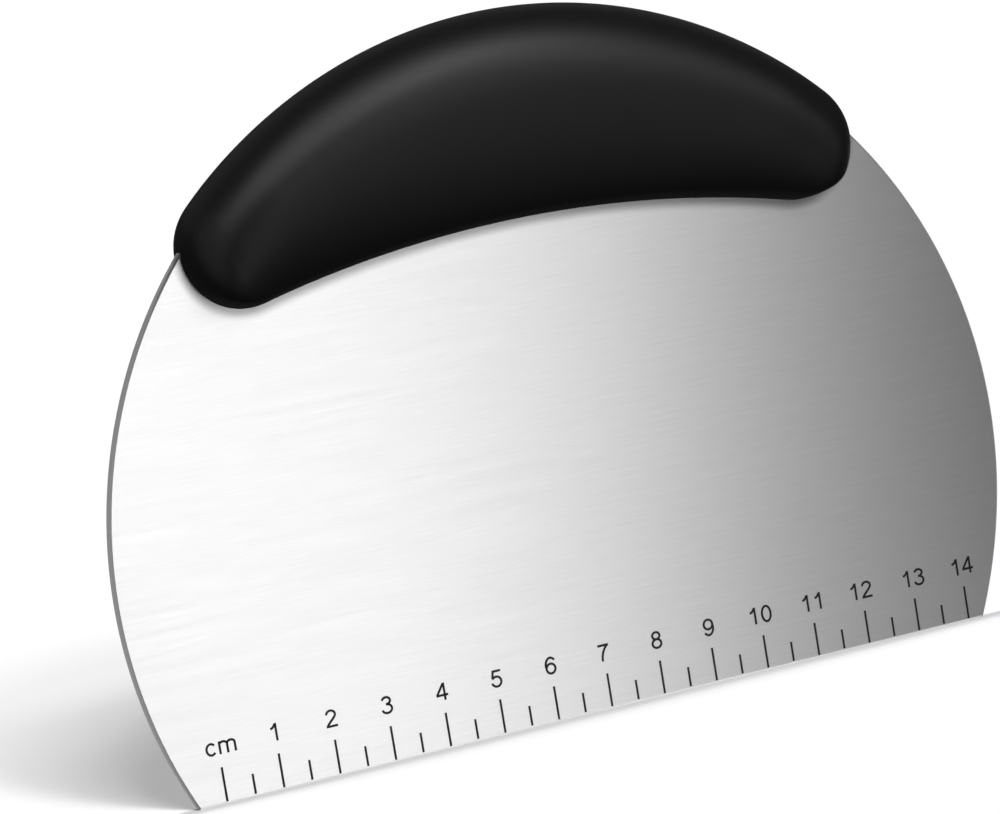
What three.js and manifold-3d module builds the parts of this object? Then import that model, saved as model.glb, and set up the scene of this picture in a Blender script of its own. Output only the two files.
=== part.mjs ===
// Dough scraper: a round-topped steel blade with a crescent handle moulded over its top.
// Millimetres, +Z up. The origin is the middle of the scraping edge, +X runs along that edge,
// and the face that carries the scale looks towards -Y.

import * as THREE from 'three';
import { mergeVertices } from 'three/addons/utils/BufferGeometryUtils.js';
import { ParametricGeometry } from 'three/addons/geometries/ParametricGeometry.js';
import Module from 'manifold-3d';

const { PI, abs, atan2, cos, min, sin, sqrt } = Math;
const { clamp, degToRad, lerp, smoothstep } = THREE.MathUtils;

// Blade
const BLADE_RADIUS = 81.75;         // of the round outline
const BLADE_CENTRE_HEIGHT = 34.9;   // of that outline's centre above the scraping edge
const BLADE_THICKNESS = 2;
const BLADE_CORNER_RADIUS = 1.2;    // at both ends of the scraping edge
const BLADE_EDGE_BREAK = 0.35;      // chamfer round the plate and its holes

// Locking holes through the part of the blade that the handle hides
const HOLE_COUNT = 5;
const HOLE_RADIUS = 4;
const HOLE_PITCH = degToRad(12);    // about the blade's centre

// Grip cover
const RIM_OVERHANG = 2.6;           // past the blade's round edge
const GRIP_DEPTH = 35;              // from the rim down to the middle of the underside
const UNDERSIDE_RADIUS = 208;       // of the hollow lower border
const LOBE_RADIUS = 10.4;           // of the two round ends
const CREST_THICKNESS = 20;         // of the handle at its thickest
const CREST_DEPTH = 14.5;           // of that place below the rim
const LIP_HEIGHT = 1.5;             // of the middle of the underside, above each face of the blade
const LIP_ROUND = 1.8;              // how far in from the underside the lip rolls over
const FULL_WIDTH = 18.6;            // of a section that has its whole thickness; a narrower one is thinner
const END_START = 0.6;              // share of each half from which on the section changes for the round end
const END_LEAN = 0.53;              // of the end's elliptical section towards the underside; 1 is upright
const END_FULLNESS = 0.885;         // its thickness as a share of the full one

// Handle core
const GRIP_WALL = 3;                // rubber over the core's cheeks
const CORE_SETBACK = 3;             // of the core's top from the blade's round edge
const CORE_FOOT = 7;                // of the core's lower border above the grip's
const CORE_LOBE_RADIUS = 5.5;
const CORE_FULL_WIDTH = 12;

// Gap between neighbouring pieces
const CLEARANCE = 0.3;

// Facets
const BLADE_ARC_STEPS = 96;
const SMALL_ARC_STEPS = 5;
const HOLE_STEPS = 24;
const GRIP_STEPS = [56, 28];        // along the crescent, and round its section
const CORE_STEPS = [32, 16];
const LOBE_SHARE = 0.26;            // of each half's steps that go to its round end
const MERGE_TOLERANCE = 1e-4;

const wasm = await Module();
wasm.setup();

// Closed mesh to solid: equal vertices become one, and triangles that shrink to a line go
function solid(geometry) {
  const bare = new THREE.BufferGeometry();
  bare.setAttribute('position', geometry.getAttribute('position'));
  bare.setIndex(geometry.getIndex());
  const merged = mergeVertices(bare, MERGE_TOLERANCE);
  const corners = merged.getIndex().array;
  const triangles = [];
  for (let i = 0; i < corners.length; i += 3) {
    const [a, b, c] = corners.slice(i, i + 3);
    if (a !== b && b !== c && c !== a) triangles.push(a, b, c);
  }
  return new wasm.Manifold(new wasm.Mesh({
    numProp: 3,
    vertProperties: new Float32Array(merged.getAttribute('position').array),
    triVerts: new Uint32Array(triangles),
  }));
}

function part(name, body, look) {
  const { vertProperties, triVerts } = body.getMesh();
  const geometry = new THREE.BufferGeometry();
  geometry.setAttribute('position', new THREE.BufferAttribute(vertProperties, 3));
  geometry.setIndex(new THREE.BufferAttribute(triVerts, 1));
  geometry.computeVertexNormals();
  const mesh = new THREE.Mesh(geometry, new THREE.MeshStandardMaterial(look));
  mesh.name = name;
  return mesh;
}

// Points of an arc, with angles from the first axis towards the second
function arc(x, y, radius, from, to, steps) {
  return new THREE.EllipseCurve(x, y, radius, radius, from, to).getPoints(steps);
}

function onCircle(centre, radius, angle) {
  return new THREE.Vector2(cos(angle), sin(angle)).multiplyScalar(radius).add(centre);
}

// Flat outline of a crescent: rim, two round ends and a hollow underside, as four tangent arcs
class Crescent {
  constructor({ rimRadius, undersideRadius, undersideHeight, lobeRadius }) {
    Object.assign(this, { rimRadius, undersideRadius, lobeRadius });
    this.rimCentre = new THREE.Vector2(0, BLADE_CENTRE_HEIGHT);
    this.undersideCentre = new THREE.Vector2(0, undersideHeight - undersideRadius);
    // A round end touches the rim arc from inside and the underside arc from outside
    const centreGap = this.rimCentre.y - this.undersideCentre.y;
    const toRim = rimRadius - lobeRadius;
    const toUnderside = undersideRadius + lobeRadius;
    const rise = (toUnderside ** 2 - toRim ** 2 + centreGap ** 2) / (2 * centreGap);
    const reach = sqrt(toUnderside ** 2 - rise ** 2);
    this.lobeCentre = new THREE.Vector2(reach, this.undersideCentre.y + rise);
    // Half the angle, about the blade's and the underside's centres, between the two round ends
    this.rimSweep = atan2(reach, this.lobeCentre.y - this.rimCentre.y);
    this.undersideSweep = atan2(reach, rise);
    // The right end's arc runs from the rim's tangent point, past its tip, to the underside's
    const rimTangent = PI / 2 - this.rimSweep;
    const undersideTangent = -PI / 2 - this.undersideSweep;
    this.tip = (rimTangent + undersideTangent) / 2;
    this.lobeSweep = (rimTangent - undersideTangent) / 2;
  }

  // Ends, at the underside and at the rim, of a rib across the right half: 0 in the middle, 1 at the tip
  rib(along) {
    const fromTip = (1 - along) / LOBE_SHARE;
    if (fromTip < 1) {
      const turn = fromTip * this.lobeSweep;
      return [
        onCircle(this.lobeCentre, this.lobeRadius, this.tip - turn),
        onCircle(this.lobeCentre, this.lobeRadius, this.tip + turn),
      ];
    }
    const share = along / (1 - LOBE_SHARE);
    return [
      onCircle(this.undersideCentre, this.undersideRadius, PI / 2 - share * this.undersideSweep),
      onCircle(this.rimCentre, this.rimRadius, PI / 2 - share * this.rimSweep),
    ];
  }
}

const rimRadius = BLADE_RADIUS + RIM_OVERHANG;
const undersideHeight = BLADE_CENTRE_HEIGHT + rimRadius - GRIP_DEPTH;

const gripOutline = new Crescent({
  rimRadius,
  undersideRadius: UNDERSIDE_RADIUS,
  undersideHeight,
  lobeRadius: LOBE_RADIUS,
});

// Outline of the core, grown all round by a clearance where it cuts its seat in the grip
function coreOutline(grow) {
  return new Crescent({
    rimRadius: BLADE_RADIUS - CORE_SETBACK + grow,
    undersideRadius: UNDERSIDE_RADIUS + CORE_FOOT - grow,
    undersideHeight: undersideHeight + CORE_FOOT - grow,
    lobeRadius: CORE_LOBE_RADIUS + grow,
  });
}

// Quarter of an ellipse: upright at 0, level from 1 on
function quarter(share) {
  return sqrt(1 - (1 - clamp(share, 0, 1)) ** 2);
}

// Thickness of a section as a share of the full one, so that the round ends come out as domes
function dome(width, fullWidth) {
  return sin(PI / 2 * min(width / fullWidth, 1));
}

// Closed pillow over an outline: each section runs up the front from underside to rim and down the back.
// halfThickness takes the share of the rib, from the underside up, its width, and its place along
function pillow(outline, halfThickness, [steps, sectionSteps]) {
  const surface = (u, v, target) => {
    const along = abs(2 * u - 1);
    const share = (1 - cos(2 * PI * v)) / 2;
    const [low, high] = outline.rib(along);
    const half = halfThickness(share, low.distanceTo(high), along);
    const point = low.lerp(high, share);
    target.set(u < 0.5 ? -point.x : point.x, v < 0.5 ? -half : half, point.y);
  };
  return solid(new ParametricGeometry(surface, steps, sectionSteps));
}

// Ellipse over a rib, 1 halfway up
function ellipse(share) {
  return 2 * sqrt(share * (1 - share));
}

// Oval section from the lip up to the crest and over to the rim, and a leaning ellipse at the ends
function gripForm() {
  const crest = CREST_DEPTH / GRIP_DEPTH;
  const lip = (BLADE_THICKNESS + 2 * LIP_HEIGHT) / CREST_THICKNESS;
  const half = (share, width, along) => {
    const rise = lip + (1 - lip) * quarter(share / (1 - crest));
    const oval = rise * quarter((1 - share) / crest);
    const end = END_FULLNESS * ellipse(share ** END_LEAN);
    const section = lerp(oval, end, smoothstep(along, END_START, 1)) * quarter(share * width / LIP_ROUND);
    return CREST_THICKNESS / 2 * dome(width, FULL_WIDTH) * section;
  };
  return pillow(gripOutline, half, GRIP_STEPS);
}

// Elliptical section, thickest halfway up
function coreForm(grow) {
  const crest = CREST_THICKNESS / 2 - GRIP_WALL + grow;
  const half = (share, width) => crest * dome(width, CORE_FULL_WIDTH) * ellipse(share);
  return pillow(coreOutline(grow), half, CORE_STEPS);
}

// Holes stand at even angles about the blade's centre, halfway up the core at each angle
function holeCentres() {
  const outline = coreOutline(0);
  const centreGap = outline.rimCentre.y - outline.undersideCentre.y;
  return Array.from({ length: HOLE_COUNT }, (_, i) => {
    const angle = (i - (HOLE_COUNT - 1) / 2) * HOLE_PITCH;
    const half = centreGap * cos(angle);
    const underside = sqrt(outline.undersideRadius ** 2 - centreGap ** 2 + half ** 2) - half;
    return onCircle(outline.rimCentre, (underside + outline.rimRadius) / 2, PI / 2 - angle);
  });
}

// Plate of the blade's outline, grown all round by a clearance where it cuts its slot
function plate({ grow, edgeBreak, holeRadius }) {
  const radius = BLADE_RADIUS + grow;
  const corner = BLADE_CORNER_RADIUS + grow;
  const cornerX = sqrt((BLADE_RADIUS - BLADE_CORNER_RADIUS) ** 2
    - (BLADE_CENTRE_HEIGHT - BLADE_CORNER_RADIUS) ** 2);
  const start = atan2(BLADE_CORNER_RADIUS - BLADE_CENTRE_HEIGHT, cornerX);
  const outline = [
    ...arc(cornerX, BLADE_CORNER_RADIUS, corner, -PI / 2, start, SMALL_ARC_STEPS),
    ...arc(0, BLADE_CENTRE_HEIGHT, radius, start, PI - start, BLADE_ARC_STEPS).slice(1),
    ...arc(-cornerX, BLADE_CORNER_RADIUS, corner, PI - start, 3 * PI / 2, SMALL_ARC_STEPS).slice(1),
  ];
  const shape = new THREE.Shape(outline);
  if (holeRadius > 0) {
    shape.holes = holeCentres().map(({ x, y }) => {
      return new THREE.Path(arc(x, y, holeRadius, 0, 2 * PI, HOLE_STEPS).slice(1));
    });
  }
  const depth = BLADE_THICKNESS + 2 * grow - 2 * edgeBreak;
  const geometry = new THREE.ExtrudeGeometry(shape, {
    depth,
    bevelEnabled: edgeBreak > 0,
    bevelThickness: edgeBreak,
    bevelSize: edgeBreak,
    bevelOffset: -edgeBreak,
    bevelSegments: 1,
  });
  geometry.translate(0, 0, -depth / 2);
  geometry.rotateX(PI / 2);
  return solid(geometry);
}

const blade = plate({ grow: 0, edgeBreak: BLADE_EDGE_BREAK, holeRadius: HOLE_RADIUS });

// The core's two cheeks stay joined by the plugs that pass through the blade's holes
const plugRadius = HOLE_RADIUS - CLEARANCE;
const core = coreForm(0).subtract(plate({ grow: CLEARANCE, edgeBreak: 0, holeRadius: plugRadius }));

const grip = gripForm()
  .subtract(coreForm(CLEARANCE))
  .subtract(plate({ grow: CLEARANCE, edgeBreak: 0, holeRadius: 0 }));

const scraper = new THREE.Group();
scraper.add(
  part('blade', blade, { color: 0xc9c9c9, roughness: 0.32, metalness: 1 }),
  part('handle_core', core, { color: 0x1c1c1e, roughness: 0.6, metalness: 0 }),
  part('grip_cover', grip, { color: 0x161616, roughness: 0.5, metalness: 0 }),
);

export default scraper;
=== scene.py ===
"""Dough scraper: a round-topped brushed blade with a centimetre scale and a crescent soft-grip handle.

The shapes are worked out in millimetres from the driving sizes of the solids, with sharper lower corners
on the blade, and go into the meshes in metres. +X runs along the scraping edge, +Z up to the handle, and
the scale is on the -Y face.
"""
from math import atan2, cos, pi, radians, sin, sqrt, tan

import bpy
import bmesh
import numpy as np
from mathutils import Matrix, Quaternion, Vector


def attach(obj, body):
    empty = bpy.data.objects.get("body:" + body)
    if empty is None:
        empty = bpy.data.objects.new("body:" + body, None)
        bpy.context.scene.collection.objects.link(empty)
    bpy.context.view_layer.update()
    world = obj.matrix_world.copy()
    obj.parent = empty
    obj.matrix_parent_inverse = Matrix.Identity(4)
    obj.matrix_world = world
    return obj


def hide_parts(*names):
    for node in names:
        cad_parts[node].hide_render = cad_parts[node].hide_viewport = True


MM = 0.001

# Blade; CHAMFER_RINGS are the places of the mesh's rings, as shares of a chamfer
BLADE_RADIUS = 81.75
BLADE_CENTRE_HEIGHT = 34.9
BLADE_THICKNESS = 2.0
BLADE_CORNER_RADIUS = 0.5
BLADE_EDGE_BREAK = 0.35
CHAMFER_RINGS = np.array([0, 0.06, 0.16, 0.84, 0.94, 1])

# Locking holes through the part of the blade that the handle hides
HOLE_COUNT = 5
HOLE_RADIUS = 4.0
HOLE_PITCH = radians(12)
HOLE_POINTS = 64

# Grip cover; its grid is the number of ribs and of points round each
RIM_OVERHANG = 2.6
GRIP_DEPTH = 35.0
UNDERSIDE_RADIUS = 208.0
LOBE_RADIUS = 10.4
CREST_THICKNESS = 20.0
CREST_DEPTH = 14.5
LIP_HEIGHT = 1.5
LIP_ROUND = 1.8
FULL_WIDTH = 18.6
END_START = 0.6
END_LEAN = 0.53
END_FULLNESS = 0.885
LOBE_SHARE = 0.26
GRIP_GRID = (361, 192)
SHARP_ANGLE = radians(40)

# Seat of the handle core, and the slot that closes on the blade
GRIP_WALL = 3.0
CORE_SETBACK = 3.0
CORE_FOOT = 7.0
CORE_LOBE_RADIUS = 5.5
CORE_FULL_WIDTH = 12.0
CLEARANCE = 0.3
SLOT_CLEARANCE = 0.05
SEAT_GRID = (121, 64)

# Centimetre scale; characters are drawn in thousandths of the type size, with a point every few degrees
CENTIMETRE = 10
SCALE_START = -69.05
SCALE_CENTIMETRES = 14
LONG_TICK = (0.4, 6.1)
SHORT_TICK = (0.5, 3.85)
TICK_WIDTH = 0.39
NUMBER_HEIGHT = 2.93
DRAWN_HEIGHT = 716
ARC_STEP = 9
NUMBER_FOOT = 8.22
NUMBER_STRETCH = 1.06
NUMBER_SHIFT = {"cm": 0.5, "11": 0.3, "12": -0.2, "13": 0.3, "14": 0.15}
STROKE_WIDTH = 0.4
MARK_PROUD = 0.02

# Camera, from a fit to the scale and the blade's outline, then turned a little for the handle's sake
CAMERA_PLACE = Vector((-278.27, -633.06, 130.66)) * MM
CAMERA_YAW = 0.400774
CAMERA_PITCH = 0.111101
CAMERA_ROLL = -0.163330
CAMERA_LENS = 149.74
SENSOR_WIDTH = 36.0

# Brushing: the map's scale and slants, and how often the two kinds of line come per metre in x, y and z
MAP_SCALE = 5
MAP_SLANTS = (0.3, 0.2)
FINE_LINES = (130, 130, 7500)
LONG_LINES = (35, 35, 1700)
LONG_LINE_SHARE = 0.35
LINE_DEPTH = 0.000002
LINE_STRENGTH = 0.5

# Finishes: range of grey and of roughness; grain as noise scale and depth in metres
STEEL_GREY = (0.57, 0.75)
STEEL_ROUGHNESS = (0.30, 0.38)
STEEL_ANISOTROPY = 0.9
RUBBER_GREY = (0.009, 0.013)
RUBBER_ROUGHNESS = (0.37, 0.41)
RUBBER_GRAIN = {"Fineness": 3500.0, "Depth": 0.000004}
PLASTIC_GREY = (0.010, 0.016)
PLASTIC_ROUGHNESS = (0.5, 0.65)
PLASTIC_GRAIN = {"Fineness": 1600.0, "Depth": 0.00002}
PATCH_SCALE = 70.0
MARK_GREY = (0.02, 0.032)
MARK_ROUGHNESS = (0.6, 0.75)
MARK_GLOSS = 0.2

# Painted shade along the lip: its nearest and farthest distance, and the share of the steel's colour left at
# the nearest
PAINTED_SHADE_REACH = (0.2, 2.1)
PAINTED_SHADE_DEPTH = 0.5

# Lights on the blade and on the handle: azimuth, elevation, width, height and lean in degrees; radiance
BLADE_PANELS = {
    "blade_front": (12, -5, 12, 30, 20, 3.15),
    "blade_front_right": (22, -5, 8, 30, 0, 1.9),
    "blade_front_edge": (28, -5, 4, 30, 20, 0.76),
    "blade_front_high": (20, 25, 24, 20, 0, 2.04),
    "blade_left": (-120, 0, 130, 110, 0, 0.36),
    "blade_left_front": (-28, 0, 44, 100, 0, 0.38),
    "blade_right": (112, 10, 50, 90, 0, 0.25),
    "blade_below": (116, -65, 46, 42, 0, 1.1),
    "blade_floor": (10, -67, 70, 30, 0, 0.5),
    "blade_behind": (152, -3, 54, 36, 0, 1.3),
    "blade_floor_behind": (175, -62, 50, 30, 0, 0.7),
}
HANDLE_PANELS = {
    "handle_key": (22, 45, 21, 15, 0, 3.85),
    "handle_key_left": (-15, 45, 32, 15, 0, 1.45),
    "handle_key_low": (30, 30, 13, 15, 0, 1.84),
    "handle_over": (-8, 60, 45, 15, 0, 1.55),
    "handle_front": (15, 0, 15, 45, 0, 0.71),
    "handle_front_high": (22, 15, 29, 15, 0, 0.27),
    "handle_left": (-60, 15, 75, 75, 0, 0.22),
    "handle_right": (45, 15, 15, 45, 0, 0.55),
    "handle_below": (8, -37, 48, 30, 0, 0.09),
    "handle_behind": (180, 45, 100, 40, 0, 0.1),
    "handle_behind_low": (148, -22, 62, 34, 0, 1.0),
}

# Floor, its reach in millimetres
FLOOR_SIDE = 3000
FLOOR_FRONT = -1500
FLOOR_BACK = 8000
FLOOR_WHITE = 0.9
FLOOR_ROUGHNESS = 0.9

# Lights on the floor: azimuth, elevation, angular size, and share of the floor's brightness. The steep
# ones are stopped by the blade alone, so that only a thin shade lies in front of the scraping edge.
FLOOR_SUNS = {
    "floor_left": (-12, 44, 10, 0.147),
    "floor_middle": (0, 45, 10, 0.17),
    "floor_right": (10, 42, 8, 0.15),
    "floor_low": (6, 32, 8, 0.134),
}
STEEP_SUNS = {
    "floor_behind": (200, 86, 4, 0.106),
    "floor_overhead": (200, 88.3, 2.5, 0.255),
    "floor_edge": (200, 88.9, 1.5, 0.03),
}

# Light that the room itself gives, and where the lights stand, in metres
WORLD_DIM = 0.035
LIGHT_DISTANCE = 1.2
LIGHT_AIM = Vector((0, 0, 0.06))


# Meshes

def piece(name, points, faces, flat_faces=0):
    """Object at the origin from points in millimetres; all but the last flat_faces faces shade smooth."""
    mesh = bpy.data.meshes.new(name)
    mesh.from_pydata((np.asarray(points).reshape(-1, 3) * MM).tolist(), [], faces)
    smooth = np.ones(len(mesh.polygons), bool)
    smooth[len(smooth) - flat_faces:] = False
    mesh.polygons.foreach_set("use_smooth", smooth)
    mesh.update()
    made = bpy.data.objects.new(name, mesh)
    bpy.context.scene.collection.objects.link(made)
    return made


def loop_faces(rows, columns):
    """Quads between consecutive rows of a grid whose columns close up into rings."""
    index = np.arange(rows * columns).reshape(rows, columns)
    beside = np.roll(index, -1, axis=1)
    quads = np.stack([index[:-1], beside[:-1], beside[1:], index[1:]], axis=-1)
    return quads.reshape(-1, 4).tolist()


def merge_doubles(made, distance=1e-8):
    """Close seams and poles: equal points become one, and faces that shrink to a line go."""
    shape = bmesh.new()
    shape.from_mesh(made.data)
    bmesh.ops.remove_doubles(shape, verts=shape.verts, dist=distance)
    bmesh.ops.recalc_face_normals(shape, faces=shape.faces)
    shape.to_mesh(made.data)
    shape.free()


def combine(made, other, operation):
    """Boolean of one closed piece with another, which is used up."""
    change = made.modifiers.new("combine", "BOOLEAN")
    change.operation = operation
    change.solver = "MANIFOLD"
    change.object = other
    graph = bpy.context.evaluated_depsgraph_get()
    before = made.data
    result = bpy.data.meshes.new_from_object(made.evaluated_get(graph))
    made.modifiers.clear()
    made.data = result
    result.name = made.name
    bpy.data.meshes.remove(before)
    bpy.data.objects.remove(other)


# Blade

def blade_ring(inset, arc_points=361, corner_points=13, edge_points=81):
    """Blade outline moved inwards: right corner, round top, left corner, straight scraping edge.

    A corner's centre is one corner radius above the edge and one inside the round outline, so every
    inset keeps the same centres and only the three radii and the edge's height change.
    """
    corner_height = BLADE_CORNER_RADIUS - BLADE_CENTRE_HEIGHT
    corner_reach = sqrt((BLADE_RADIUS - BLADE_CORNER_RADIUS) ** 2 - corner_height ** 2)
    tangent = atan2(corner_height, corner_reach)
    right = np.linspace(-pi / 2, tangent, corner_points)
    top = np.linspace(tangent, pi - tangent, arc_points)[1:-1]
    left = np.linspace(pi - tangent, 3 * pi / 2, corner_points)
    corner = BLADE_CORNER_RADIUS - inset
    edge = np.linspace(-corner_reach, corner_reach, edge_points)[1:-1]
    x = np.concatenate([
        corner_reach + corner * np.cos(right),
        (BLADE_RADIUS - inset) * np.cos(top),
        -corner_reach + corner * np.cos(left),
        edge])
    z = np.concatenate([
        BLADE_CORNER_RADIUS + corner * np.sin(right),
        BLADE_CENTRE_HEIGHT + (BLADE_RADIUS - inset) * np.sin(top),
        BLADE_CORNER_RADIUS + corner * np.sin(left),
        np.full(edge.shape, inset)])
    return x, z


def blade_plate():
    """Border profile carried round the outline: chamfer, flat side, chamfer; then the two flat faces.

    Extra rings close to a chamfer's ends keep the rounding of its shading as narrow as a ground edge's.
    """
    inset = BLADE_EDGE_BREAK * (1 - CHAMFER_RINGS)
    depth = BLADE_THICKNESS / 2 - BLADE_EDGE_BREAK * CHAMFER_RINGS
    inset = np.concatenate([inset, inset[::-1]])
    depth = np.concatenate([-depth, depth[::-1]])
    rings = []
    for ring_inset, y in zip(inset, depth):
        x, z = blade_ring(ring_inset)
        rings.append(np.stack([x, np.full(x.shape, y), z], axis=-1))
    rings = np.array(rings)
    rows, columns = rings.shape[:2]
    faces = loop_faces(rows, columns)
    faces += [list(range(columns))[::-1], list(range((rows - 1) * columns, rows * columns))]
    made = piece("blade_plate", rings, faces, flat_faces=2)
    merge_doubles(made)
    return made


def prism(name, x, z, half):
    """Closed block: a flat outline carried straight through the blade, half on either side of its middle."""
    rings = np.stack([np.stack([x, np.full(x.shape, y), z], axis=-1) for y in (-half, half)])
    faces = loop_faces(2, x.size)
    faces += [list(range(x.size))[::-1], list(range(x.size, 2 * x.size))]
    made = piece(name, rings, faces, flat_faces=len(faces))
    merge_doubles(made)
    return made


def punch_holes(blade):
    """Round holes at even angles about the blade's centre, halfway up the core at each angle."""
    core = core_outline(0)
    gap = BLADE_CENTRE_HEIGHT - core.under_centre
    turn = np.linspace(0, 2 * pi, HOLE_POINTS, endpoint=False)
    for step in range(HOLE_COUNT):
        angle = (step - (HOLE_COUNT - 1) / 2) * HOLE_PITCH
        low = sqrt(core.under ** 2 - (gap * sin(angle)) ** 2) - gap * cos(angle)
        place = (low + core.rim) / 2
        x = place * sin(angle) + HOLE_RADIUS * np.cos(turn)
        z = BLADE_CENTRE_HEIGHT + place * cos(angle) + HOLE_RADIUS * np.sin(turn)
        combine(blade, prism("hole", x, z, BLADE_THICKNESS), "DIFFERENCE")


def brushing_map(blade):
    """Map whose first axis runs up the blade, across the brush lines, and whose second runs along it.

    The blade's thickness is folded into both slantwise, so that the borders have a place in the map too.
    """
    mesh = blade.data
    place = np.empty(3 * len(mesh.vertices))
    mesh.vertices.foreach_get("co", place)
    corner = np.empty(len(mesh.loops), int)
    mesh.loops.foreach_get("vertex_index", corner)
    x, y, z = place.reshape(-1, 3)[corner].T * MAP_SCALE
    layer = mesh.uv_layers.new(name="brushing")
    up_slant, along_slant = MAP_SLANTS
    layer.data.foreach_set("uv", np.stack([z + up_slant * y, x + along_slant * y], axis=-1).ravel())


# Grip cover

class Crescent:
    """Flat outline of a crescent: rim, two round ends and a hollow underside, as four tangent arcs."""

    def __init__(self, rim, under, under_height, lobe):
        self.rim = rim
        self.under = under
        self.lobe = lobe
        self.under_centre = under_height - under
        # A round end touches the rim arc from inside and the underside arc from outside
        gap = BLADE_CENTRE_HEIGHT - self.under_centre
        to_rim = rim - lobe
        to_under = under + lobe
        rise = (to_under ** 2 - to_rim ** 2 + gap ** 2) / (2 * gap)
        self.lobe_x = sqrt(to_under ** 2 - rise ** 2)
        self.lobe_z = self.under_centre + rise
        self.rim_sweep = atan2(self.lobe_x, self.lobe_z - BLADE_CENTRE_HEIGHT)
        self.under_sweep = atan2(self.lobe_x, rise)
        self.tip = -(self.rim_sweep + self.under_sweep) / 2
        self.lobe_sweep = pi / 2 + (self.under_sweep - self.rim_sweep) / 2

    def ribs(self, along):
        """Ends, at the underside and at the rim, of ribs across the right half.

        A rib's place along the half is 0 in the middle and 1 at the tip.
        """
        turn = np.minimum((1 - along) / LOBE_SHARE, 1) * self.lobe_sweep
        share = np.minimum(along / (1 - LOBE_SHARE), 1)
        in_lobe = along > 1 - LOBE_SHARE

        def border(turn, radius, centre, sweep):
            """Arc of the round end near the tip, and the border's own arc elsewhere."""
            x = np.where(in_lobe, self.lobe_x + self.lobe * np.cos(self.tip + turn),
                         radius * np.sin(share * sweep))
            z = np.where(in_lobe, self.lobe_z + self.lobe * np.sin(self.tip + turn),
                         centre + radius * np.cos(share * sweep))
            return np.stack([x, z], axis=-1)

        low = border(-turn, self.under, self.under_centre, self.under_sweep)
        high = border(turn, self.rim, BLADE_CENTRE_HEIGHT, self.rim_sweep)
        return low, high


def grip_outline():
    """Outline of the grip: its rim overhangs the blade's, and its underside is one depth below the top."""
    rim = BLADE_RADIUS + RIM_OVERHANG
    return Crescent(rim, UNDERSIDE_RADIUS, BLADE_CENTRE_HEIGHT + rim - GRIP_DEPTH, LOBE_RADIUS)


def core_outline(grow):
    """Outline of the handle core, grown all round by a clearance."""
    under_height = BLADE_CENTRE_HEIGHT + BLADE_RADIUS + RIM_OVERHANG - GRIP_DEPTH + CORE_FOOT
    return Crescent(BLADE_RADIUS - CORE_SETBACK + grow, UNDERSIDE_RADIUS + CORE_FOOT - grow,
                    under_height - grow, CORE_LOBE_RADIUS + grow)


def quarter(share):
    """Quarter of an ellipse: upright at 0, level from 1 on."""
    return np.sqrt(1 - (1 - np.clip(share, 0, 1)) ** 2)


def dome(width, full_width):
    """Thickness of a section as a share of the full one: a sine of its width, level from full_width on."""
    return np.sin(pi / 2 * np.minimum(width / full_width, 1))


def ellipse(share):
    """Ellipse over a rib: 0 at both borders, 1 halfway up."""
    return 2 * np.sqrt(share * (1 - share))


def grip_half(share, width, along):
    """Half the thickness of the grip: an oval that becomes a leaning ellipse towards the round ends.

    The oval is a quarter ellipse from the lip to the crest and another from there to the rim. The end's
    ellipse leans because it is taken over a power of the share of the rib.
    """
    crest = CREST_DEPTH / GRIP_DEPTH
    lip = (BLADE_THICKNESS + 2 * LIP_HEIGHT) / CREST_THICKNESS
    oval = (lip + (1 - lip) * quarter(share / (1 - crest))) * quarter((1 - share) / crest)
    end = END_FULLNESS * ellipse(share ** END_LEAN)
    near = np.clip((along - END_START) / (1 - END_START), 0, 1)
    near = near * near * (3 - 2 * near)
    section = (oval + (end - oval) * near) * quarter(share * width / LIP_ROUND)
    return CREST_THICKNESS / 2 * dome(width, FULL_WIDTH) * section


def seat_half(share, width, along):
    """Half the thickness of the core's seat: an ellipse on each rib, domed at the round ends."""
    crest = CREST_THICKNESS / 2 - GRIP_WALL + CLEARANCE
    return crest * dome(width, CORE_FULL_WIDTH) * ellipse(share)


def pillow(name, outline, half_thickness, rows, columns):
    """Closed pillow over an outline: each rib's section runs up the front to the rim and down the back.

    A point's share of its rib is half a cosine wave, so that the section is finest at both borders.
    """
    along = np.linspace(-1, 1, rows)
    turn = np.linspace(0, 2 * pi, columns, endpoint=False)
    share = (1 - np.cos(turn)) / 2
    low, high = outline.ribs(np.abs(along))
    rib = high - low
    width = np.linalg.norm(rib, axis=-1)
    flat = low[:, None] + rib[:, None] * share[None, :, None]
    half = half_thickness(share[None, :], width[:, None], np.abs(along)[:, None])
    x = flat[..., 0] * np.sign(along)[:, None]
    y = np.where(turn < pi, -half, half)
    made = piece(name, np.stack([x, y, flat[..., 1]], axis=-1), loop_faces(rows, columns))
    merge_doubles(made)
    return made


def grip_cover():
    """Rubber crescent, hollowed for the core and slotted for the blade."""
    made = pillow("grip_cover_skin", grip_outline(), grip_half, *GRIP_GRID)
    combine(made, pillow("seat", core_outline(CLEARANCE), seat_half, *SEAT_GRID), "DIFFERENCE")
    x, z = blade_ring(-SLOT_CLEARANCE)
    combine(made, prism("slot", x, z, BLADE_THICKNESS / 2 + SLOT_CLEARANCE), "DIFFERENCE")
    made.data.set_sharp_from_angle(angle=SHARP_ANGLE)
    return made


# Centimetre scale

def arc(x, y, width, height, start, end):
    """Points of an elliptical arc about (x, y), angles in degrees from +x towards +y."""
    turn = np.radians(np.linspace(start, end, 2 + int(abs(end - start) / ARC_STEP)))
    return np.stack([x + width * np.cos(turn), y + height * np.sin(turn)], axis=-1)


def path(*runs):
    """Points and arcs, one after the other, as one path."""
    return np.concatenate([np.atleast_2d(np.asarray(run, float)) for run in runs])


def ring(x, y, width, height):
    """Closed ellipse; its last point is the first one again."""
    return arc(x, y, width, height, 0, 360)


def turned(strokes, x, y):
    """The same strokes after half a turn about (x, y)."""
    return [np.array([2 * x, 2 * y]) - stroke for stroke in strokes]


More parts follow.
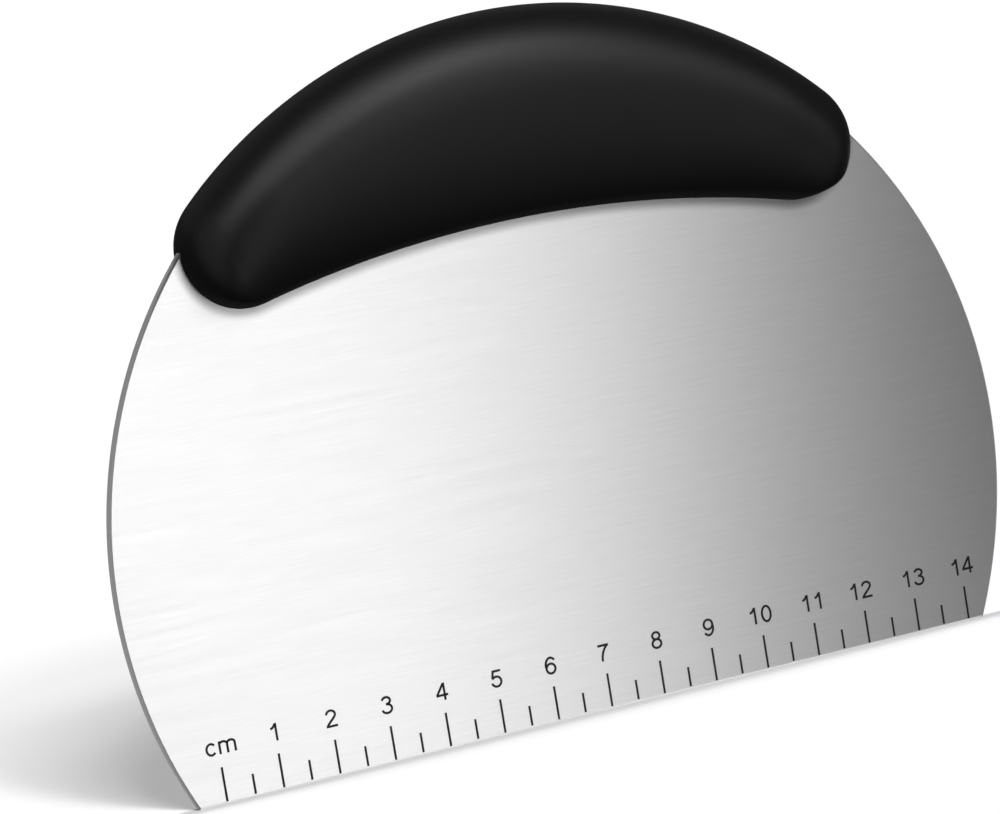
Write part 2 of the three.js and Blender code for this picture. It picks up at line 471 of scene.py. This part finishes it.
def glyphs():
    """Centre lines of the strokes and advance width of each character, in thousandths of the type size.

    Strokes that overlap are listed one after the other, so that each one goes to a layer of its own.
    """
    six = [ring(282, 228, 186, 202), arc(295, 360, 214, 318, 38, 206)]
    return {
        "0": (556, [ring(275, 354, 189, 324)]),
        "1": (556, [path((329, 0), (329, 719)), arc(70, 742, 240, 240, -80, -14)]),
        "2": (556, [path(arc(272, 515, 178, 162, 178, -38), (330, 322), (220, 216), (130, 122), (94, 60)),
                    path((40, 42), (503, 42))]),
        "3": (556, [arc(262, 535, 166, 142, 168, -95), arc(262, 208, 198, 178, 98, -170)]),
        "4": (556, [path((367, 0), (367, 716)), path((14, 212), (508, 212)), path((50, 226), (352, 690))]),
        "5": (556, [arc(262, 232, 196, 204, 144, -168), path((478, 667), (156, 667), (104, 354))]),
        "6": (556, six),
        "7": (556, [path((47, 664), (511, 664)), arc(760, 0, 574, 770, 180, 121.5)]),
        "8": (556, [ring(275, 533, 158, 146), ring(275, 205, 190, 178)]),
        "9": (556, turned(six, 275, 354)),
        "c": (500, [arc(264, 259, 182, 226, 40, 320)]),
        "m": (833, [path((110, 0), (110, 519)), path(arc(263, 366, 154, 121, 160, 0), (417, 0)),
                    path(arc(571, 366, 154, 121, 160, 0), (725, 0))]),
    }


def stroke_rings(line, width):
    """Flat bar carried along a path in the front face.

    Each point gets a rectangle, mitred to those before and after it.
    """
    along = np.diff(line, axis=0)
    along /= np.linalg.norm(along, axis=1)[:, None]
    closed = np.allclose(line[0], line[-1])
    before = np.concatenate([along[-1:] if closed else along[:1], along])
    after = np.concatenate([along, along[:1] if closed else along[-1:]])
    normal = (before + after) / (1 + (before * after).sum(1))[:, None]
    aside = np.stack([-normal[:, 1], normal[:, 0]], axis=-1) * width / 2
    left, right = line + aside, line - aside
    face = -BLADE_THICKNESS / 2
    corners = [(left, face + MARK_PROUD), (left, face - MARK_PROUD),
               (right, face - MARK_PROUD), (right, face + MARK_PROUD)]
    runs = [np.stack([flat[:, 0], np.full(len(flat), y), flat[:, 1]], axis=-1) for flat, y in corners]
    return np.stack(runs, axis=1), closed


def bars(name, lines, width):
    """One mesh of closed bars, one along each path."""
    points, faces, start = [], [], 0
    for line in lines:
        rings, closed = stroke_rings(line, width)
        count = 4 * len(rings)
        made = np.array(loop_faces(len(rings), 4))
        if closed:
            rings = rings[:-1]
            count -= 4
            made %= count
        else:
            made = np.concatenate([made, [[3, 2, 1, 0]], count - 4 + np.array([[0, 1, 2, 3]])])
        points.append(rings.reshape(-1, 3))
        faces.append(made + start)
        start += count
    faces = np.concatenate(faces).tolist()
    return piece(name, np.concatenate(points), faces, flat_faces=len(faces))


def scale_ticks():
    """Upright bars: long at each centimetre and short halfway between."""
    lines = []
    for step in range(2 * SCALE_CENTIMETRES + 1):
        x = SCALE_START + CENTIMETRE / 2 * step
        foot, head = SHORT_TICK if step % 2 else LONG_TICK
        lines.append(path((x, foot), (x, head)))
    return bars("scale_ticks", lines, TICK_WIDTH)


def scale_numbers():
    """Numbers over their centimetre marks and the unit over the first, each centred as the marks are."""
    shapes = glyphs()
    size = NUMBER_HEIGHT / DRAWN_HEIGHT * np.array((NUMBER_STRETCH, 1))
    layers = [[], [], []]
    for centimetre in range(SCALE_CENTIMETRES + 1):
        text = str(centimetre) if centimetre else "cm"
        x = SCALE_START + CENTIMETRE * centimetre + NUMBER_SHIFT.get(text, 0)
        x -= size[0] * sum(shapes[letter][0] for letter in text) / 2
        for letter in text:
            advance, strokes = shapes[letter]
            for layer, line in zip(layers, strokes):
                layer.append(line * size + (x, NUMBER_FOOT))
            x += size[0] * advance
    made, *others = [bars("scale_numbers", lines, STROKE_WIDTH) for lines in layers]
    for other in others:
        combine(made, other, "UNION")
    return made


# Materials

def material(name):
    """New material, its node tree and its principled shader."""
    made = bpy.data.materials.new(name)
    made.use_nodes = True
    tree = made.node_tree
    return made, tree, tree.nodes["Principled BSDF"]


def add(tree, kind, settings=None, **inputs):
    """New node; settings are its properties, and each input is a plain value or another node's socket."""
    made = tree.nodes.new(kind)
    for name, value in (settings or {}).items():
        setattr(made, name, value)
    for name, value in inputs.items():
        connect(tree, made, name.replace("_", " "), value)
    return made


def connect(tree, made, name, value):
    """Give a node's input another node's socket or a plain value."""
    if isinstance(value, bpy.types.NodeSocket):
        tree.links.new(value, made.inputs[name])
    else:
        made.inputs[name].default_value = value


def group(name, inputs, outputs):
    """Shader node group with named sockets; gives its tree, its inputs by name and its output node."""
    tree = bpy.data.node_groups.new(name, "ShaderNodeTree")
    for direction, sockets in (("INPUT", inputs), ("OUTPUT", outputs)):
        for label, kind in sockets.items():
            tree.interface.new_socket(label, in_out=direction, socket_type="NodeSocket" + kind)
    given = tree.nodes.new("NodeGroupInput").outputs
    return tree, given, tree.nodes.new("NodeGroupOutput")


def use(tree, node_group, **inputs):
    """Place a node group in a material and give its outputs."""
    return add(tree, "ShaderNodeGroup", {"node_tree": node_group}, **inputs).outputs


def spread(tree, value, low, high):
    """Value from 0 to 1 moved to between low and high."""
    made = add(tree, "ShaderNodeMapRange", Value=value, To_Min=low, To_Max=high)
    return made.outputs["Result"]


def scaled(tree, place, scale):
    """Place multiplied by one scale for each axis."""
    return add(tree, "ShaderNodeMapping", Vector=place, Scale=scale).outputs["Vector"]


def mixed(tree, share, first, second):
    """Value that goes from the first to the second as the share goes from 0 to 1."""
    made = add(tree, "ShaderNodeMix", {"data_type": "FLOAT"}, Factor=share)
    # Inputs 2 and 3 are the two values
    connect(tree, made, 2, first)
    connect(tree, made, 3, second)
    return made.outputs[0]


def maths(tree, operation, *values):
    """One step of arithmetic on plain values and sockets."""
    made = add(tree, "ShaderNodeMath", {"operation": operation})
    for number, value in enumerate(values):
        connect(tree, made, number, value)
    return made.outputs[0]


def distance(tree, x, z):
    """Length of a flat step of x and z."""
    step = add(tree, "ShaderNodeCombineXYZ", X=x, Z=z).outputs[0]
    return add(tree, "ShaderNodeVectorMath", {"operation": "LENGTH"}, Vector=step).outputs["Value"]


def fine_grain():
    """Moulded grain: fine noise of a given size, slow patches, and the normal that the grain tilts."""
    tree, given, out = group("fine_grain", {"Place": "Vector", "Fineness": "Float", "Depth": "Float"},
                             {"Grain": "Float", "Patches": "Float", "Normal": "Vector"})
    grain = add(tree, "ShaderNodeTexNoise", Vector=given["Place"], Scale=given["Fineness"], Detail=2.0)
    patches = add(tree, "ShaderNodeTexNoise", Vector=given["Place"], Scale=PATCH_SCALE, Detail=3.0)
    bump = add(tree, "ShaderNodeBump", Height=grain.outputs["Fac"], Distance=given["Depth"])
    connect(tree, out, "Grain", grain.outputs["Fac"])
    connect(tree, out, "Patches", patches.outputs["Fac"])
    connect(tree, out, "Normal", bump.outputs["Normal"])
    return tree


def brush_lines():
    """Brushing along the scraping edge: fine short lines and longer, softer ones, both stretched along X."""
    tree, given, out = group("brush_lines", {"Place": "Vector"}, {"Fine": "Float", "Long": "Float"})
    fine_place = scaled(tree, given["Place"], FINE_LINES)
    fine = add(tree, "ShaderNodeTexNoise", Vector=fine_place, Scale=1.0, Detail=2.0)
    soft_place = scaled(tree, given["Place"], LONG_LINES)
    soft = add(tree, "ShaderNodeTexNoise", Vector=soft_place, Scale=1.0, Detail=3.0)
    connect(tree, out, "Fine", fine.outputs["Fac"])
    connect(tree, out, "Long", soft.outputs["Fac"])
    return tree


def lip_shade(tree, place):
    """Soft shade painted into the steel's colour along the lip of the grip, from its border outwards.

    Under the hollow side the border is the underside arc, and past its ends the arc of the round end.
    """
    outline = grip_outline()
    flat = add(tree, "ShaderNodeSeparateXYZ", Vector=place).outputs
    aside = maths(tree, "ABSOLUTE", flat["X"])
    above = maths(tree, "SUBTRACT", flat["Z"], outline.under_centre * MM)
    below_arc = maths(tree, "SUBTRACT", outline.under * MM, distance(tree, aside, above))
    past_x = maths(tree, "SUBTRACT", aside, outline.lobe_x * MM)
    past_z = maths(tree, "SUBTRACT", flat["Z"], outline.lobe_z * MM)
    past_end = maths(tree, "SUBTRACT", distance(tree, past_x, past_z), outline.lobe * MM)
    reach = maths(tree, "MULTIPLY", above, tan(outline.under_sweep))
    under = maths(tree, "LESS_THAN", aside, reach)
    away = mixed(tree, under, past_end, below_arc)
    near, far = PAINTED_SHADE_REACH
    made = add(tree, "ShaderNodeMapRange", {"interpolation_type": "SMOOTHSTEP"}, Value=away,
               From_Min=near * MM, From_Max=far * MM, To_Min=PAINTED_SHADE_DEPTH, To_Max=1.0)
    return made.outputs["Result"]


def brushed_steel(lines):
    """Steel streaked along the brushing, mirroring mostly across it, with painted shade along the grip's
    lip.
    """
    made, tree, steel = material("brushed_steel")
    place = add(tree, "ShaderNodeTexCoord").outputs["Object"]
    brushing = use(tree, lines, Place=place)
    streaks = mixed(tree, LONG_LINE_SHARE, brushing["Fine"], brushing["Long"])
    grey = spread(tree, streaks, *STEEL_GREY)
    steel.inputs["Metallic"].default_value = 1.0
    steel.inputs["Anisotropic"].default_value = STEEL_ANISOTROPY
    # Painted shade along the grip's lip darkens the steel's base colour
    connect(tree, steel, "Base Color", maths(tree, "MULTIPLY", grey, lip_shade(tree, place)))
    connect(tree, steel, "Roughness", spread(tree, brushing["Long"], *STEEL_ROUGHNESS))
    bump = add(tree, "ShaderNodeBump", Height=brushing["Fine"], Strength=LINE_STRENGTH, Distance=LINE_DEPTH)
    connect(tree, steel, "Normal", bump.outputs["Normal"])
    across = add(tree, "ShaderNodeTangent", {"direction_type": "UV_MAP", "uv_map": "brushing"})
    connect(tree, steel, "Tangent", across.outputs["Tangent"])
    return made


def moulded_skin(name, grain, texture, greys, roughness):
    """Moulded finish: dark in slow patches, with the grain in its roughness and its normal."""
    made, tree, shader = material(name)
    place = add(tree, "ShaderNodeTexCoord").outputs["Object"]
    skin = use(tree, grain, Place=place, **texture)
    grey = spread(tree, skin["Patches"], *greys)
    connect(tree, shader, "Base Color", grey)
    connect(tree, shader, "Roughness", spread(tree, skin["Grain"], *roughness))
    connect(tree, shader, "Normal", skin["Normal"])
    return made


def etched_mark(lines):
    """Dull dark mark that keeps a trace of the brushing."""
    made, tree, mark = material("etched_mark")
    place = add(tree, "ShaderNodeTexCoord").outputs["Object"]
    brushing = use(tree, lines, Place=place)
    grey = spread(tree, brushing["Fine"], *MARK_GREY)
    mark.inputs["Specular IOR Level"].default_value = MARK_GLOSS
    connect(tree, mark, "Base Color", grey)
    connect(tree, mark, "Roughness", spread(tree, brushing["Long"], *MARK_ROUGHNESS))
    return made


# Stage

def camera():
    """Camera from its place and its turns: yaw to the right, pitch down, roll about the view."""
    level = Vector((sin(CAMERA_YAW), cos(CAMERA_YAW), 0))
    forward = level * cos(CAMERA_PITCH) - Vector((0, 0, sin(CAMERA_PITCH)))
    right = Vector((cos(CAMERA_YAW), -sin(CAMERA_YAW), 0))
    upright = Matrix((right, right.cross(forward), -forward)).transposed()
    turn = upright @ Matrix.Rotation(CAMERA_ROLL, 3, "Z")
    data = bpy.data.cameras.new("camera")
    data.lens = CAMERA_LENS
    data.sensor_width = SENSOR_WIDTH
    made = bpy.data.objects.new("camera", data)
    made.matrix_world = Matrix.LocRotScale(CAMERA_PLACE, turn, None)
    bpy.context.scene.collection.objects.link(made)
    bpy.context.scene.camera = made


def receivers(name, objects):
    """Collection of the objects that a light falls on."""
    made = bpy.data.collections.new(name)
    for each in objects:
        made.objects.link(each)
    return made


def light(name, kind, lit, azimuth, elevation, lean, strength):
    """Light that faces the scraper and falls on one set of objects.

    Its azimuth runs from the front towards the right, and it leans about the line to the scraper.
    """
    data = bpy.data.lights.new(name, kind)
    data.energy = strength
    made = bpy.data.objects.new(name, data)
    azimuth, elevation = radians(azimuth), radians(elevation)
    away = Vector((sin(azimuth) * cos(elevation), -cos(azimuth) * cos(elevation), sin(elevation)))
    turn = away.to_track_quat("Z", "Y") @ Quaternion((0, 0, 1), radians(lean))
    made.matrix_world = Matrix.LocRotScale(LIGHT_AIM + away * LIGHT_DISTANCE, turn, None)
    made.visible_camera = False
    made.light_linking.receiver_collection = lit
    bpy.context.scene.collection.objects.link(made)
    return made


def panel(name, lit, azimuth, elevation, wide, high, lean, radiance):
    """Soft rectangular panel, wide by high degrees as seen from the scraper."""
    width = 2 * LIGHT_DISTANCE * tan(radians(wide / 2))
    height = 2 * LIGHT_DISTANCE * tan(radians(high / 2))
    made = light(name, "AREA", lit, azimuth, elevation, lean, radiance * pi * width * height)
    made.data.shape = "RECTANGLE"
    made.data.size = width
    made.data.size_y = height
    return made


def sun(name, lit, azimuth, elevation, angle, share):
    """Even light that gives the white floor the given share of its brightness."""
    strength = share * pi / FLOOR_WHITE / sin(radians(elevation))
    made = light(name, "SUN", lit, azimuth, elevation, 0, strength)
    made.data.angle = radians(angle)
    return made


def floor():
    """White floor that goes far past the picture and neither mirrors in the scraper nor shades it."""
    front = [(-FLOOR_SIDE, FLOOR_FRONT, 0), (FLOOR_SIDE, FLOOR_FRONT, 0)]
    back = [(FLOOR_SIDE, FLOOR_BACK, 0), (-FLOOR_SIDE, FLOOR_BACK, 0)]
    made = piece("floor", front + back, [[0, 1, 2, 3]])
    white, _, shader = material("floor_white")
    shader.inputs["Base Color"].default_value = (FLOOR_WHITE, FLOOR_WHITE, FLOOR_WHITE, 1)
    shader.inputs["Roughness"].default_value = FLOOR_ROUGHNESS
    shader.inputs["Specular IOR Level"].default_value = 0.0
    made.data.materials.append(white)
    made.visible_glossy = False
    made.visible_diffuse = False
    made.visible_shadow = False
    return made


def white_room():
    """Room that looks white but gives little light of its own."""
    world = bpy.data.worlds.new("white_room")
    world.use_nodes = True
    tree = world.node_tree
    tree.nodes.clear()
    seen = add(tree, "ShaderNodeBackground", Color=(1, 1, 1, 1), Strength=1.0)
    dim = add(tree, "ShaderNodeBackground", Color=(1, 1, 1, 1), Strength=WORLD_DIM)
    straight = add(tree, "ShaderNodeLightPath").outputs["Is Camera Ray"]
    mix = add(tree, "ShaderNodeMixShader", Fac=straight)
    tree.links.new(dim.outputs[0], mix.inputs[1])
    tree.links.new(seen.outputs[0], mix.inputs[2])
    add(tree, "ShaderNodeOutputWorld", Surface=mix.outputs[0])
    bpy.context.scene.world = world


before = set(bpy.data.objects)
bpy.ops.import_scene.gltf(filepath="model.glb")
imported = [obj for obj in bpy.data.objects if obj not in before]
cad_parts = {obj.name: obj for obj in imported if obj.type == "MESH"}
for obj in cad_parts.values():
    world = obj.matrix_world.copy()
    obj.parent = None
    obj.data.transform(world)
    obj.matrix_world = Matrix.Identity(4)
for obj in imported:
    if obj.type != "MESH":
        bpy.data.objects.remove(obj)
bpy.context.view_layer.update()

camera()
white_room()

lines = brush_lines()
grain = fine_grain()

blade = blade_plate()
punch_holes(blade)
brushing_map(blade)
blade.data.materials.clear()
blade.data.materials.append(brushed_steel(lines))
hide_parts("blade")

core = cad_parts["handle_core"]
core.data.materials.clear()
plastic = moulded_skin("moulded_plastic", grain, PLASTIC_GRAIN, PLASTIC_GREY, PLASTIC_ROUGHNESS)
core.data.materials.append(plastic)

grip = grip_cover()
grip.data.materials.clear()
rubber = moulded_skin("soft_rubber", grain, RUBBER_GRAIN, RUBBER_GREY, RUBBER_ROUGHNESS)
grip.data.materials.append(rubber)
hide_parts("grip_cover")

mark = etched_mark(lines)
ticks = scale_ticks()
numbers = scale_numbers()
for marks in (ticks, numbers):
    marks.data.materials.clear()
    marks.data.materials.append(mark)

for made in (blade, grip, ticks, numbers):
    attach(made, "root")

# The grip shows no image of the steel in its lip
blade.visible_glossy = False
blade.visible_diffuse = False

on_blade = receivers("on_blade", (blade, ticks, numbers))
for name, facts in BLADE_PANELS.items():
    panel(name, on_blade, *facts)
on_handle = receivers("on_handle", (grip, core))
for name, facts in HANDLE_PANELS.items():
    # Only shadow rays find these panels, so the steel hides those behind it from the lip
    panel(name, on_handle, *facts).data.cycles.use_multiple_importance_sampling = False
on_floor = receivers("on_floor", (floor(),))
for name, facts in FLOOR_SUNS.items():
    sun(name, on_floor, *facts)
for name, facts in STEEP_SUNS.items():
    sun(name, on_floor, *facts).light_linking.blocker_collection = on_blade

bpy.context.scene.view_settings.view_transform = "Standard"
